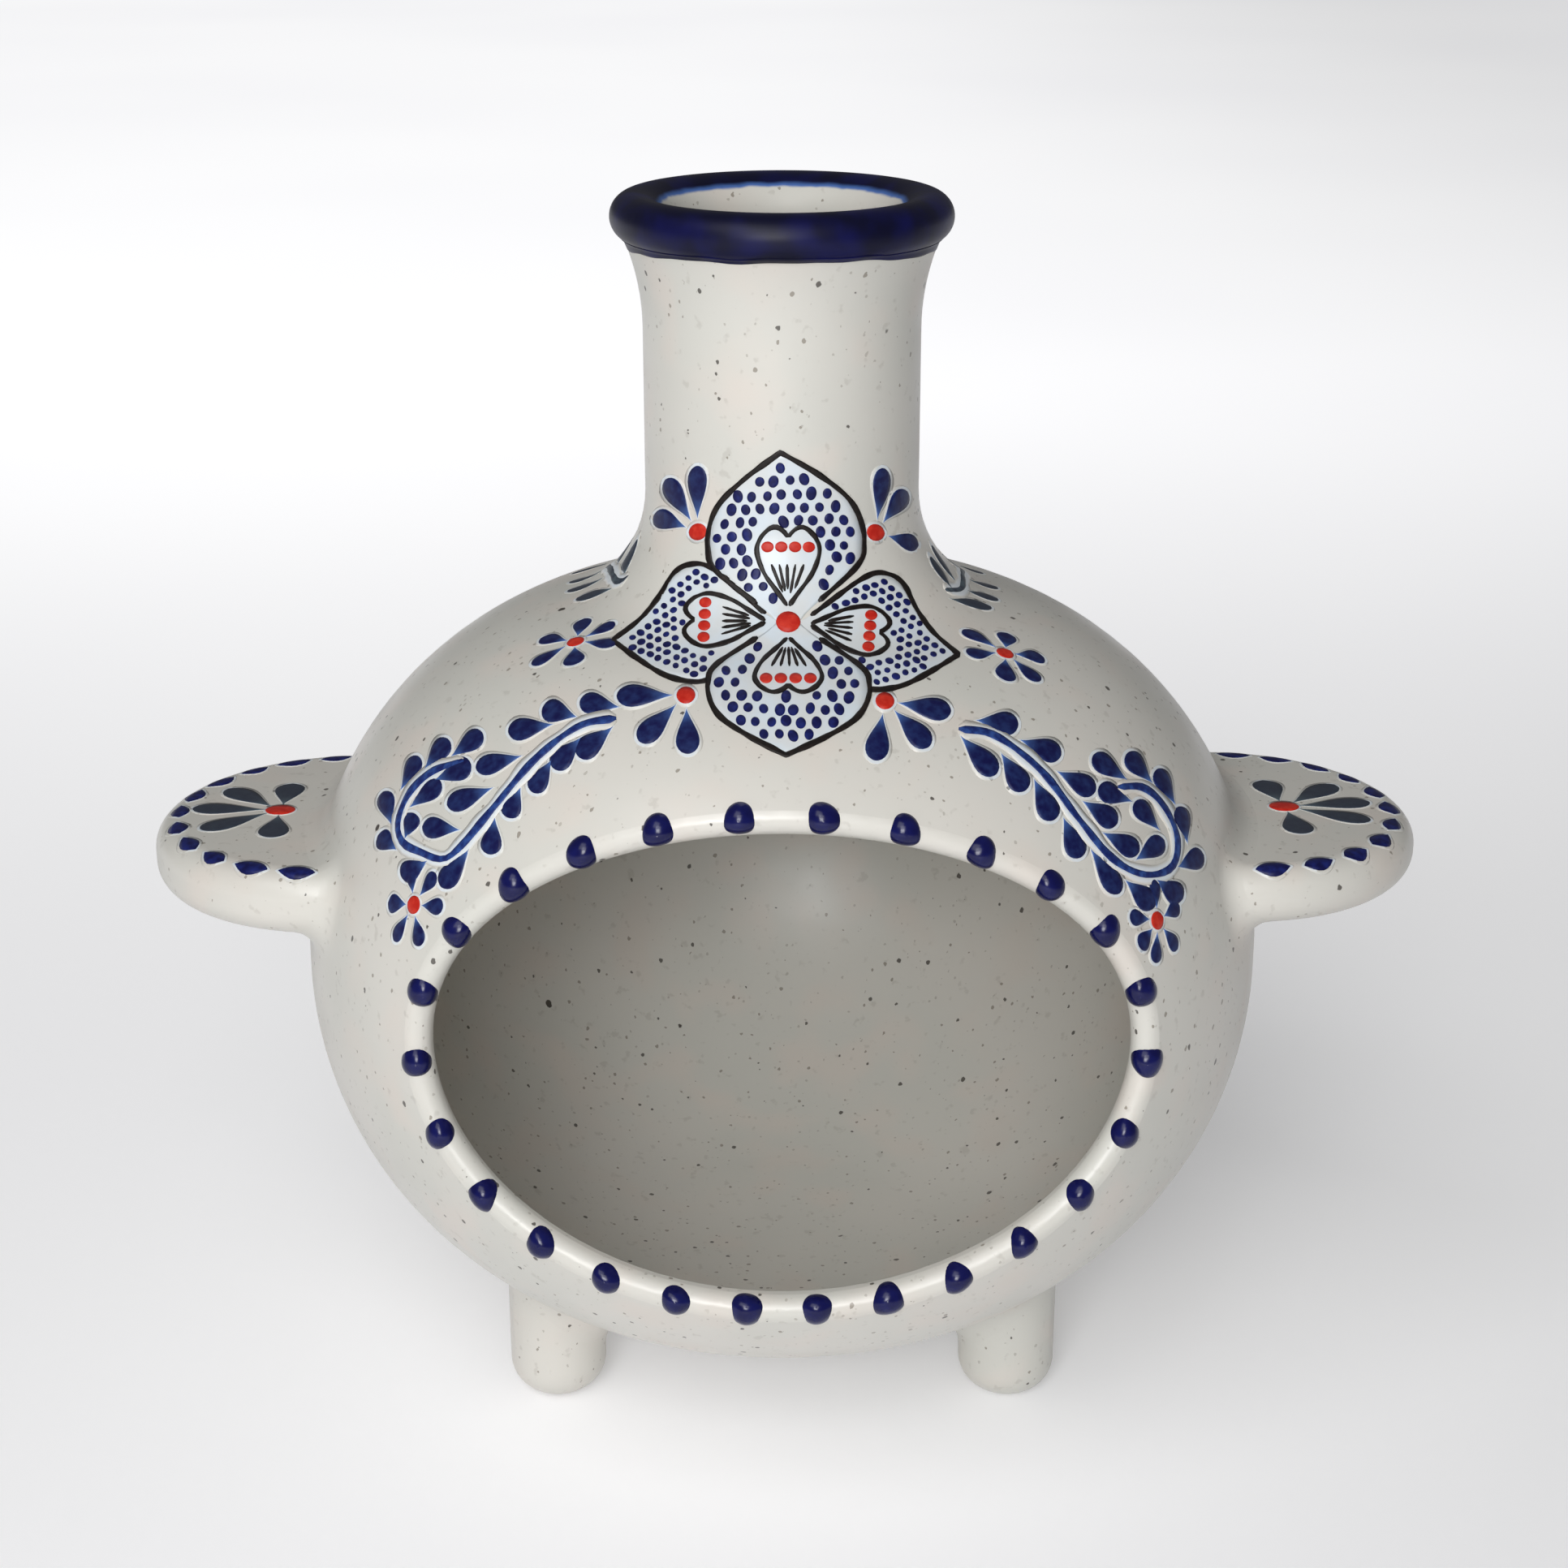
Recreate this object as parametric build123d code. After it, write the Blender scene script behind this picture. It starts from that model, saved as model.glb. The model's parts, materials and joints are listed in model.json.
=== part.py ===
from build123d import *
import math
import os

# A round-bellied pottery vase: a thrown belly with an oval mouth in its front, a chimney neck that
# opens into it, two half-disc lugs and three feet. Millimetres; +Z is up and the front faces -Y. The
# origin is on the table, under the axis of the belly. The clay pieces are modelled as one blended
# body and then parted along flat luting joints, so that each blend runs on smoothly over its joint.

# Belly: a body of revolution. Its side is two arcs, with a short upright band between them.
EQUATOR_Z = 96.7
EQUATOR_BAND = 3.5
EQUATOR_RADIUS = 99.4
UPPER_ARC = 73.8
LOWER_ARC = 77.8
BASE_RADIUS = 34.0
WALL = 6.2

# Chimney neck, its flare and the rolled rim. The roll is a tight round nose outside, and a wider round
# lip inside, which runs down into the straight bore.
NECK_RADIUS = 27.6
SHOULDER_BLEND = 24.0
FLARE_START_Z = 223.5
FLARE_ARC = 47.0
RIM_TOP_Z = 250.0
BORE_RADIUS = 22.0
ROLL_RADIUS = 4.6
ROLL_CENTRE_RADIUS = 29.2
ROLL_CREASE_BLEND = 1.5
THROAT_BLEND = 5.0

# Oval mouth, cut straight back through the front wall, with a soft lip.
MOUTH_Z = 98.8
MOUTH_HALF_WIDTH = 66.7
MOUTH_HALF_HEIGHT = 45.7
LIP_OUTER_BLEND = 3.0
LIP_INNER_BLEND = 1.0

# Lugs: flat half-discs with rounded rims, made by hand, so the left one is thicker and the right one
# is higher and reaches further.
LUGS = {
    "left_lug": {"side": -1, "tip": 131.2, "top_z": 121.4, "thickness": 13.7},
    "right_lug": {"side": 1, "tip": 132.3, "top_z": 122.2, "thickness": 12.1},
}
LUG_RADIUS = 39.0
LUG_EDGE_BLEND = 5.6
LUG_ROOT_BLEND = 6.0
LUG_JOINT_X = 103.0

# Feet: three short cones, a third of a turn apart, each with a small flat pad.
FOOT_COUNT = 3
FOOT_CIRCLE_RADIUS = 55.3
FOOT_RADIUS = 10.1
FOOT_TAPER = 0.3
FOOT_END_BLEND = 7.5
FOOT_ROOT_BLEND = 8.0
FOOT_JOINT_Z = 14.0

# Drops of cobalt glaze on the brow of the mouth, along an oval that is fuller below. They start at the
# left and run anticlockwise, seen from the front. Set by hand, they stray from even spacing by up to
# BEAD_DRIFT of a step, ahead of it on the left and behind it on the right.
BEAD_COUNT = 26
BEAD_DRIFT = 0.33
BEAD_RADIUS = 2.8
BEAD_HEIGHT = 1.35
BEAD_LINE_Z = 100.4
BEAD_LINE_HALF_WIDTH = 69.6
BEAD_LINE_HALF_HEIGHT = 48.4
BEAD_LINE_FULLNESS = 0.03

# Luting joints of the neck and of the rim.
NECK_JOINT_Z = 193.0
RIM_JOINT_Z = 240.8

# The turn that keeps the seams of revolved solids clear of the joins.
SEAM_ANGLE = 50


def polar(centre, radius, degrees):
    """The point at an angle on a circle, in the (radius, height) plane of a profile."""
    angle = math.radians(degrees)
    return (centre[0] + radius * math.cos(angle), centre[1] + radius * math.sin(angle))


def belly_arcs(inset, top_radius):
    """Half the belly's outline from the axis up to a radius at its top, set in by a wall."""
    upper_centre = (EQUATOR_RADIUS - UPPER_ARC, EQUATOR_Z)
    lower_centre = (EQUATOR_RADIUS - LOWER_ARC, EQUATOR_Z - EQUATOR_BAND)
    lean = math.asin((BASE_RADIUS - lower_centre[0]) / LOWER_ARC)
    base_arc = BASE_RADIUS / math.sin(lean) - inset
    base_centre = (0, lower_centre[1] + lower_centre[0] / math.tan(lean))
    lean = math.degrees(lean)
    upper_arc = UPPER_ARC - inset
    top_angle = math.degrees(math.acos((top_radius - upper_centre[0]) / upper_arc))
    lower = CenterArc(lower_centre, LOWER_ARC - inset, lean - 90, 90 - lean)
    upper = CenterArc(upper_centre, upper_arc, 0, top_angle)
    return [CenterArc(base_centre, base_arc, -90, lean), lower, Line(lower @ 1, upper @ 0), upper]


def revolved(face):
    """A profile face turned about the vertical axis, with its seam at the rear."""
    return Rot(0, 0, SEAM_ANGLE) * revolve(Plane.XZ * face, Axis.Z)


def blend_corner(face, point, radius):
    """Round the corner of a profile face that lies nearest to a point."""
    corner = face.vertices().sort_by_distance(Vector(point))[0]
    return fillet(corner, radius)


def shell_body():
    """Belly, neck and rolled rim with the cavity and the bore, as one revolved wall."""
    outer = belly_arcs(0, NECK_RADIUS)
    inner = belly_arcs(WALL, BORE_RADIUS)
    shoulder = outer[-1] @ 1
    throat = inner[-1] @ 1
    flare_start = (NECK_RADIUS, FLARE_START_Z)
    flare_centre = (NECK_RADIUS + FLARE_ARC, FLARE_START_Z)
    roll_centre = (ROLL_CENTRE_RADIUS, RIM_TOP_Z - ROLL_RADIUS)
    lip_radius = ROLL_CENTRE_RADIUS - BORE_RADIUS
    lip_centre = (ROLL_CENTRE_RADIUS, RIM_TOP_Z - lip_radius)

    # The flare ends where its arc meets the circle of the roll.
    reach = math.dist(flare_centre, roll_centre)
    bearing = math.atan2(flare_centre[1] - roll_centre[1], flare_centre[0] - roll_centre[0])
    cosine = (ROLL_RADIUS**2 + reach**2 - FLARE_ARC**2) / (2 * ROLL_RADIUS * reach)
    crease_angle = math.degrees(bearing - math.acos(cosine))
    crease = polar(roll_centre, ROLL_RADIUS, crease_angle)
    flare_end = math.degrees(math.atan2(crease[1] - flare_centre[1], crease[0] - flare_centre[0]))

    outline = outer + [
        Line(shoulder, flare_start),
        CenterArc(flare_centre, FLARE_ARC, 180, flare_end - 180),
        CenterArc(roll_centre, ROLL_RADIUS, crease_angle, 90 - crease_angle),
        CenterArc(lip_centre, lip_radius, 90, 90),
        Line((BORE_RADIUS, lip_centre[1]), throat),
        Line(inner[0] @ 0, outer[0] @ 0),
    ] + inner
    face = make_face(outline)
    for corner, radius in (
        (shoulder, SHOULDER_BLEND),
        (crease, ROLL_CREASE_BLEND),
        (throat, THROAT_BLEND),
    ):
        face = blend_corner(face, corner, radius)
    return revolved(face)


def belly_core():
    """A solid belly set in by half the wall, which trims the buried ends of lugs and feet."""
    arcs = belly_arcs(WALL / 2, BORE_RADIUS)
    top = arcs[-1] @ 1
    axis_top = (0, top.Y)
    return revolved(make_face(arcs + [Line(top, axis_top), Line(axis_top, arcs[0] @ 0)]))


def lug(side, tip, top_z, thickness):
    """A half-disc lug with a rounded rim, on the right (side 1) or the left (side -1)."""
    disc_x = tip - LUG_RADIUS
    root_length = disc_x - EQUATOR_RADIUS / 2
    root = Pos(side * (disc_x - root_length / 2), 0) * Rectangle(root_length, 2 * LUG_RADIUS)
    plan = root + Pos(side * disc_x, 0) * Circle(LUG_RADIUS)
    slab = Pos(0, 0, top_z - thickness) * extrude(plan, thickness)
    rims = slab.edges().filter_by(Plane.XY) - slab.edges().filter_by(Axis.Y)
    return fillet(rims, LUG_EDGE_BLEND)


def foot(angle):
    """A rounded conical foot on the foot circle, at an angle in degrees from +X."""
    root_z = EQUATOR_Z / 2
    root_radius = FOOT_RADIUS + root_z * math.tan(math.radians(FOOT_TAPER))
    profile = make_face(
        Polyline((0, 0), (FOOT_RADIUS, 0), (root_radius, root_z), (0, root_z), close=True)
    )
    profile = blend_corner(profile, (FOOT_RADIUS, 0, 0), FOOT_END_BLEND)
    cone = revolve(Plane.XZ * profile, Axis.Z)
    return Rot(0, 0, angle) * Pos(FOOT_CIRCLE_RADIUS, 0, 0) * cone


def add_blended(body, piece, radius):
    """Join a piece to the body and blend the line where they meet."""
    joined = body + piece
    return fillet(new_edges(body, piece, combined=joined), radius)


def cut_mouth(body, core):
    """Cut the oval mouth and round its outer and inner edges into a soft lip."""
    oval = Plane.XZ * Pos(0, MOUTH_Z) * Ellipse(MOUTH_HALF_HEIGHT, MOUTH_HALF_WIDTH, rotation=90)
    cutter = extrude(oval, 2 * EQUATOR_RADIUS)
    opened = body - cutter
    lip = new_edges(body, cutter, combined=opened)
    outer = [edge for edge in lip if not core.is_inside(edge @ 0.5)]
    opened = fillet(outer, LIP_OUTER_BLEND)
    inner = [
        edge
        for edge in opened.edges()
        if core.is_inside(edge @ 0.1) and all(on_mouth_oval(edge @ part) for part in (0.1, 0.9))
    ]
    return fillet(inner, LIP_INNER_BLEND)


def on_mouth_oval(point):
    """Whether a point lies on the straight walls of the mouth, in front of the axis."""
    across = point.X / MOUTH_HALF_WIDTH
    up = (point.Z - MOUTH_Z) / MOUTH_HALF_HEIGHT
    return point.Y < 0 and abs(math.hypot(across, up) - 1) < 1e-4


def bead_seats(body):
    """Where each drop sits on the brow of the mouth: its point on the glaze and the outward normal."""
    oval = Plane.XZ * Ellipse(BEAD_LINE_HALF_HEIGHT, BEAD_LINE_HALF_WIDTH, rotation=90)
    skin = body.shells().sort_by(SortBy.AREA)[-1]
    seats = []
    for number in range(BEAD_COUNT):
        drift = BEAD_DRIFT * math.cos(2 * math.pi * number / BEAD_COUNT)
        place = oval.edge() @ ((number + drift) / BEAD_COUNT)
        turn = math.atan2(place.Z, place.X)
        reach = 1 - BEAD_LINE_FULLNESS * 2 * math.sin(turn) * abs(math.cos(turn))
        sight = Axis((reach * place.X, -2 * EQUATOR_RADIUS, BEAD_LINE_Z + reach * place.Z), (0, 1, 0))
        seats.append(skin.find_intersection_points(sight)[0])
    return seats


def bead(body, seat, normal):
    """A domed drop of glaze: the cap of a ball that is sunk into the brow and trimmed to it."""
    ball_radius = (BEAD_RADIUS**2 + BEAD_HEIGHT**2) / (2 * BEAD_HEIGHT)
    ball = Plane(seat, z_dir=normal) * Pos(0, 0, BEAD_HEIGHT - ball_radius) * Sphere(ball_radius)
    return (ball - body).solids().sort_by_distance(seat)[0]


def part_off(body, plane):
    """Part the body along a luting joint: what lies behind the plane, and what lies ahead of it."""
    return split(body, plane, Keep.BOTTOM), split(body, plane, Keep.TOP)


body = shell_body()
core = belly_core()
for setting in LUGS.values():
    body = add_blended(body, lug(**setting) - core, LUG_ROOT_BLEND)
for number in range(FOOT_COUNT):
    body = add_blended(body, foot(90 + number * 360 / FOOT_COUNT) - core, FOOT_ROOT_BLEND)
body = cut_mouth(body, core)

pieces = {}
for number, (seat, normal) in enumerate(bead_seats(body), start=1):
    pieces[f"mouth_bead_{number:02d}"] = bead(body, seat, normal)

belly, neck = part_off(body, Plane.XY.offset(NECK_JOINT_Z))
pieces["chimney_neck"], pieces["rim_roll"] = part_off(neck, Plane.XY.offset(RIM_JOINT_Z))
feet, belly = part_off(belly, Plane.XY.offset(FOOT_JOINT_Z))
for solid in feet.solids():
    place = solid.center()
    if place.Y > 0:
        pieces["rear_foot"] = solid
    else:
        pieces["front_left_foot" if place.X < 0 else "front_right_foot"] = solid
for name, setting in LUGS.items():
    side = setting["side"]
    joint = Plane(origin=(side * LUG_JOINT_X, 0, 0), z_dir=(side, 0, 0))
    belly, pieces[name] = part_off(belly, joint)
pieces["belly"] = belly

os.makedirs("parts", exist_ok=True)
for name, piece in pieces.items():
    export_step(piece, os.path.join("parts", name + ".step"))
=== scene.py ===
import json
import math
import random

import bpy
import numpy as np
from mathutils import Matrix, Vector
from mathutils.bvhtree import BVHTree
from mathutils.geometry import barycentric_transform

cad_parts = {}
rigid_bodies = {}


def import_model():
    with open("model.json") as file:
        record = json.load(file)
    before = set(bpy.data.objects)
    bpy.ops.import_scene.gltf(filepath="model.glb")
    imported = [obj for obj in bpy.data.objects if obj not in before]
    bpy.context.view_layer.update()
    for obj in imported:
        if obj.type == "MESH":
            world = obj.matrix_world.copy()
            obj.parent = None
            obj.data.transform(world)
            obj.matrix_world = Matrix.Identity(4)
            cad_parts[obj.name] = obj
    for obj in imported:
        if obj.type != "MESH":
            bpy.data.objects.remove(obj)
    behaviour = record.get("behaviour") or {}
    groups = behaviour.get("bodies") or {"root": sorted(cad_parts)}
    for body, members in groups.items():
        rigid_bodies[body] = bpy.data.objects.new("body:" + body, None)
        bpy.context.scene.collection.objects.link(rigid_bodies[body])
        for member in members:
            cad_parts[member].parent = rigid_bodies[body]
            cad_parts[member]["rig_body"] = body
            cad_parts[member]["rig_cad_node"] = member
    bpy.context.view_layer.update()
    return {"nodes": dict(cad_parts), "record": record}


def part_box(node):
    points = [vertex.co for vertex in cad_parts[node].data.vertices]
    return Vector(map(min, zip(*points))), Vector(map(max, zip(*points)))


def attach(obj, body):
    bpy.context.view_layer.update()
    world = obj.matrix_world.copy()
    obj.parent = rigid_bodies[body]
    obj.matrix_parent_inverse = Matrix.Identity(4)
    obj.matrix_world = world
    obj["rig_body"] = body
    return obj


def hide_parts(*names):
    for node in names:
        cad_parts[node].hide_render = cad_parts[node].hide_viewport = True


# The looks of a round-bellied talavera vase: its speckled glaze, its cobalt rim and drops, and the
# flower painting, which is laid on the clay as thin raised glaze. All drawing sizes are millimetres.

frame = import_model()
nodes = frame["nodes"]

# Every small unsteadiness of the painter's hand is drawn from this one seed.
hand = random.Random(7)

MM = 0.001
CLAY_NODES = [
    "belly",
    "chimney_neck",
    "left_lug",
    "right_lug",
    "front_left_foot",
    "front_right_foot",
    "rear_foot",
]
BEAD_NODES = sorted(name for name in nodes if name.startswith("mouth_bead"))

# How far each layer of the painting stands above the clay, and how far its underside is sunk.
HALO_LIFT = 0.03
GROUND_LIFT = 0.06
LINE_LIFT = 0.10
OVER_GROUND_LIFT = 0.13
OVER_LINE_LIFT = 0.17
HEART_GROUND_LIFT = 0.20
HEART_LINE_LIFT = 0.24
SUNK = 0.10

# How much higher the middle of a leaf stands, and how far its pale wash reaches beyond each stroke.
LEAF_CROWN = 0.12
LEAF_HALO = 0.65
DOT_HALO = 0.7
STEM_HALO = 1.0

# Colours, as sRGB values from 0 to 255.
GLAZE = (203, 200, 193)
GLAZE_COOL = (198, 197, 190)
GLAZE_WARM = (204, 198, 190)
SPECK = (50, 42, 36)
SPECK_FAINT = (104, 92, 76)
COBALT = (9, 11, 64)
COBALT_LIGHT = (24, 34, 100)
COBALT_DROP = (14, 18, 76)
COBALT_THIN = (72, 106, 170)
COBALT_ROLL = (5, 6, 34)
STEM = (18, 32, 92)
STEM_LIGHT = (46, 76, 140)
SLATE = (44, 50, 64)
SLATE_THIN = (78, 92, 100)
HALO = (214, 226, 238)
PETAL_WHITE = (200, 210, 218)
LINE_BLACK = (16, 12, 11)
LINE_BROWN = (34, 26, 23)
IRON_RED = (176, 30, 18)
IRON_RED_LIGHT = (196, 52, 36)
FLOOR = (240, 240, 241)
FLOOR_COOL = (236, 236, 238)

# Iron specks, from fine to bold: grid spacing and largest radius in millimetres, the share of the grid
# cells that hold one, how strongly it shows, and its colour.
SPECK_SIZES = (
    (1.5, 0.36, 0.35, 0.35, SPECK_FAINT),
    (2.3, 0.48, 0.5, 0.65, SPECK_FAINT),
    (3.6, 0.62, 0.6, 0.85, SPECK),
    (11.0, 0.95, 0.4, 0.95, SPECK),
)

# Where the cobalt of the roll ends: inside, beyond the bore; and outside, at a height that swings
# down at the left and the right.
BORE_RADIUS = next(m for m in frame["record"]["mounts"] if m["name"] == "chimney_bore")["dims"]["r_mm"]
INNER_GLAZE_EDGE = 1.9
SKIRT_Z = 240.3
SKIRT_SWING = 0.8

# The camera, in metres and degrees, with its lens on a sensor of a width in millimetres.
CAMERA_PLACE = (0.0004, -0.5632, 0.3298)
CAMERA_DIP = 19.8
LENS = 65.57
SENSOR_WIDTH = 36


# ---------------------------------------------------------------- pressing a drawing on the clay

class Clay:
    """The outer clay of the vase, for finding where a drawing lands on it."""

    def __init__(self, names):
        self.corners = []
        self.normals = []
        for name in names:
            mesh = nodes[name].data
            mesh.calc_loop_triangles()
            points = [vertex.co.copy() for vertex in mesh.vertices]
            loop_normals = [normal.vector.copy() for normal in mesh.corner_normals]
            for triangle in mesh.loop_triangles:
                self.corners.append([points[index] for index in triangle.vertices])
                self.normals.append([loop_normals[index] for index in triangle.loops])
        flat = [corner for corners in self.corners for corner in corners]
        faces = [(3 * i, 3 * i + 1, 3 * i + 2) for i in range(len(self.corners))]
        self.tree = BVHTree.FromPolygons(flat, faces)

    def smooth(self, hit, index):
        """A hit on a facet, moved out to the curved surface, with the smooth normal there."""
        corners, normals = self.corners[index], self.normals[index]
        unit = (Vector((1, 0, 0)), Vector((0, 1, 0)), Vector((0, 0, 1)))
        share = barycentric_transform(hit, *corners, *unit)
        bulged = Vector()
        normal = Vector()
        for weight, corner, corner_normal in zip(share, corners, normals):
            height = (hit - corner).dot(corner_normal)
            bulged += weight * (hit - height * corner_normal)
            normal += weight * corner_normal
        return hit.lerp(bulged, 0.75), normal.normalized()

    def cast(self, start, heading):
        hit, _, index, _ = self.tree.ray_cast(start, heading)
        if hit is None:
            raise ValueError(f"a drawing misses the clay near {start}")
        return self.smooth(hit, index)

    def nearest(self, point):
        hit, _, index, _ = self.tree.find_nearest(point)
        return self.smooth(hit, index)


clay = Clay(CLAY_NODES + ["rim_roll"])


class Canvas:
    """A flat sheet in front of the clay. A drawing on it is pressed straight back on to the clay."""

    def __init__(self, origin, right, up, stand_off=0.3):
        self.stand_off = stand_off
        self.origin = Vector(origin)
        self.right = Vector(right).normalized()
        self.up = Vector(up).normalized()
        self.inward = self.up.cross(self.right)

    def press(self, u, v):
        place = self.origin + MM * (u * self.right + v * self.up)
        return clay.cast(place - self.stand_off * self.inward, self.inward)

    def tangent(self, u, v):
        """A sheet that touches the clay where (u, v) lands, with its right side kept level."""
        place, normal = self.press(u, v)
        level = Vector((0, 0, 1)).cross(normal) if abs(normal.z) < 0.99 else self.right
        return Canvas(place, level, normal.cross(level))


class Collar:
    """A sheet wrapped round the neck: u runs round it at a nominal radius, v is the height."""

    STAND_OFF = 0.05

    def __init__(self, radius):
        self.radius = radius

    def press(self, u, v):
        turn = u / self.radius
        out = Vector((math.cos(turn), math.sin(turn), 0))
        return clay.cast(Vector((0, 0, v * MM)) + self.STAND_OFF * out, -out)


TILT = math.radians(20)
front = Canvas((0, 0, 0), (1, 0, 0), (0, math.sin(TILT), math.cos(TILT)))
above = Canvas((0, 0, 0), (1, 0, 0), (0, 1, 0))
under_rim = Canvas((0, 0, 0), (1, 0, 0), (0, 1, 0), stand_off=0.21)


# ---------------------------------------------------------------- shapes of the brush

def smooth_path(points, steps):
    """A Catmull-Rom curve through points, with evenly spaced results."""
    points = [np.array(point, float) for point in points]
    ends = [2 * points[0] - points[1]] + points + [2 * points[-1] - points[-2]]
    dense = []
    for a, b, c, d in zip(ends, ends[1:], ends[2:], ends[3:]):
        for t in np.linspace(0, 1, 12, endpoint=False):
            cubic = 2 * b + (c - a) * t + (2 * a - 5 * b + 4 * c - d) * t**2
            dense.append((cubic + (3 * b - a - 3 * c + d) * t**3) / 2)
    dense.append(points[-1])
    dense = np.array(dense)
    run = np.concatenate([[0], np.cumsum(np.linalg.norm(np.diff(dense, axis=0), axis=1))])
    wanted = np.linspace(0, run[-1], steps)
    return np.column_stack([np.interp(wanted, run, dense[:, axis]) for axis in range(2)])


def ribbon(spine, half_widths, columns=5, lobes=0.0):
    """A grid of points on both sides of a spine. Lobes push its far end out beside the middle."""
    spine = np.array(spine, float)
    heading = np.gradient(spine, axis=0)
    heading /= np.linalg.norm(heading, axis=1)[:, None]
    left = np.column_stack([-heading[:, 1], heading[:, 0]])
    rows = []
    for row, (point, side, width) in enumerate(zip(spine, left, half_widths)):
        t = row / (len(spine) - 1)
        rows.append([
            point + side * width * s + heading[row] * lobes * t**3 * math.sin(math.pi * abs(s))
            for s in np.linspace(-1, 1, columns)
        ])
    return np.array(rows)


def rounded_stations(count):
    """Values from 0 to 1 that crowd towards both ends, so that ribbon ends come out round."""
    return (1 - np.cos(np.linspace(0, math.pi, count))) / 2


def direction(degrees):
    return np.array([math.cos(math.radians(degrees)), math.sin(math.radians(degrees))])


def leaf(tail, degrees, length, width, grow=0.0):
    """A brush dab: a fine tail that swells to a round head. Grow widens it all round."""
    stations = rounded_stations(15)
    along = direction(degrees)
    full = length + 2 * grow
    start = np.array(tail) - grow * along
    spine = [start + t * full * along for t in stations]
    inner = np.clip(stations, 0.004, 0.9985)
    swell = 1.2 * np.sqrt(inner * np.sin(math.pi * inner**1.5))
    return ribbon(spine, (width / 2 + grow) * swell, columns=7)


def dab(centre, degrees, length, width, grow=0.0):
    """A lens-shaped dab, pointed at both ends."""
    stations = rounded_stations(11)
    along = direction(degrees)
    full = length + 2 * grow
    spine = [np.array(centre) + (t - 0.5) * full * along for t in stations]
    swell = np.sin(math.pi * np.clip(stations, 0.01, 0.99)) ** 0.8
    return ribbon(spine, (width / 2 + grow) * swell)


def spot(centre, radius, stretch=1.0, degrees=0.0):
    """A round or slightly long dot."""
    stations = rounded_stations(11)
    along = direction(degrees)
    spine = [np.array(centre) + (2 * t - 1) * radius * stretch * along for t in stations]
    swell = np.sqrt(np.clip(1 - (2 * stations - 1) ** 2, 0.002, 1))
    return ribbon(spine, radius * swell)


def brush_line(path, width):
    """A drawn line of slightly uneven width, with fine ends."""
    count = len(path)
    phase = hand.uniform(0, 6)
    sway = 1 + 0.13 * np.sin(phase + np.arange(count) * 0.5) + 0.07 * np.sin(np.arange(count) * 1.3)
    widths = width / 2 * sway
    widths[0] *= 0.4
    widths[-1] *= 0.4
    return ribbon(path, widths)


def border(grid):
    """The outline of a ribbon: up one side, over its far end, and back down the other side."""
    return np.concatenate([grid[:, 0], grid[-1, 1:-1], grid[::-1, -1]])


# ---------------------------------------------------------------- raised glaze

class Glaze:
    """Strokes of one colour, gathered into one named piece of thin raised glaze."""

    def __init__(self):
        self.points = []
        self.faces = []
        self.rounded = []
        self.along = []
        self.edge = []

    def lay(self, canvas, grid, lift, crown=0.0):
        """Press a grid on the clay as a closed skin, with its middle raised by the crown."""
        rows, columns = grid.shape[:2]
        base = len(self.points)
        for layer in ("top", "underside"):
            for row in range(rows):
                for column in range(columns):
                    across = abs(2 * column / (columns - 1) - 1)
                    run = row / (rows - 1)
                    place, normal = canvas.press(*grid[row, column].tolist())
                    dome = crown * (1 - across**2) * math.sin(math.pi * (0.15 + 0.7 * run))
                    height = lift + dome if layer == "top" else -SUNK
                    self.points.append(place + height * MM * normal)
                    self.along.append(run)
                    self.edge.append(max(across, abs(2 * run - 1) ** 3))
        under = rows * columns

        def at(row, column, layer=0):
            return base + row * columns + column + layer * under

        for row in range(rows - 1):
            for column in range(columns - 1):
                quad = [at(row, column), at(row, column + 1), at(row + 1, column + 1), at(row + 1, column)]
                self.faces.append(quad)
                self.faces.append([index + under for index in reversed(quad)])
                self.rounded += [True, True]
        rim = [(row, 0) for row in range(rows)]
        rim += [(rows - 1, column) for column in range(1, columns)]
        rim += [(row, columns - 1) for row in range(rows - 2, -1, -1)]
        rim += [(0, column) for column in range(columns - 2, 0, -1)]
        for here, there in zip(rim, rim[1:] + rim[:1]):
            self.faces.append([at(*here), at(*there), at(*there, 1), at(*here, 1)])
            self.rounded.append(False)

    def piece(self, name, material, slot):
        """Make the piece, riding on the vase."""
        mesh = bpy.data.meshes.new(name)
        mesh.from_pydata([tuple(point) for point in self.points], [], self.faces)
        for label, values in (("along", self.along), ("edge", self.edge)):
            mesh.attributes.new(label, "FLOAT", "POINT").data.foreach_set("value", values)
        mesh.polygons.foreach_set("use_smooth", self.rounded)
        mesh.materials.append(material)
        mesh.update()
        thing = bpy.data.objects.new(name, mesh)
        bpy.context.scene.collection.objects.link(thing)
        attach(thing, "root")


# ---------------------------------------------------------------- materials

def linear(colour):
    """An sRGB colour as the linear value that a shader takes."""
    parts = [value / 255 for value in colour]
    return (*[p / 12.92 if p <= 0.04045 else ((p + 0.055) / 1.055) ** 2.4 for p in parts], 1)


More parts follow.
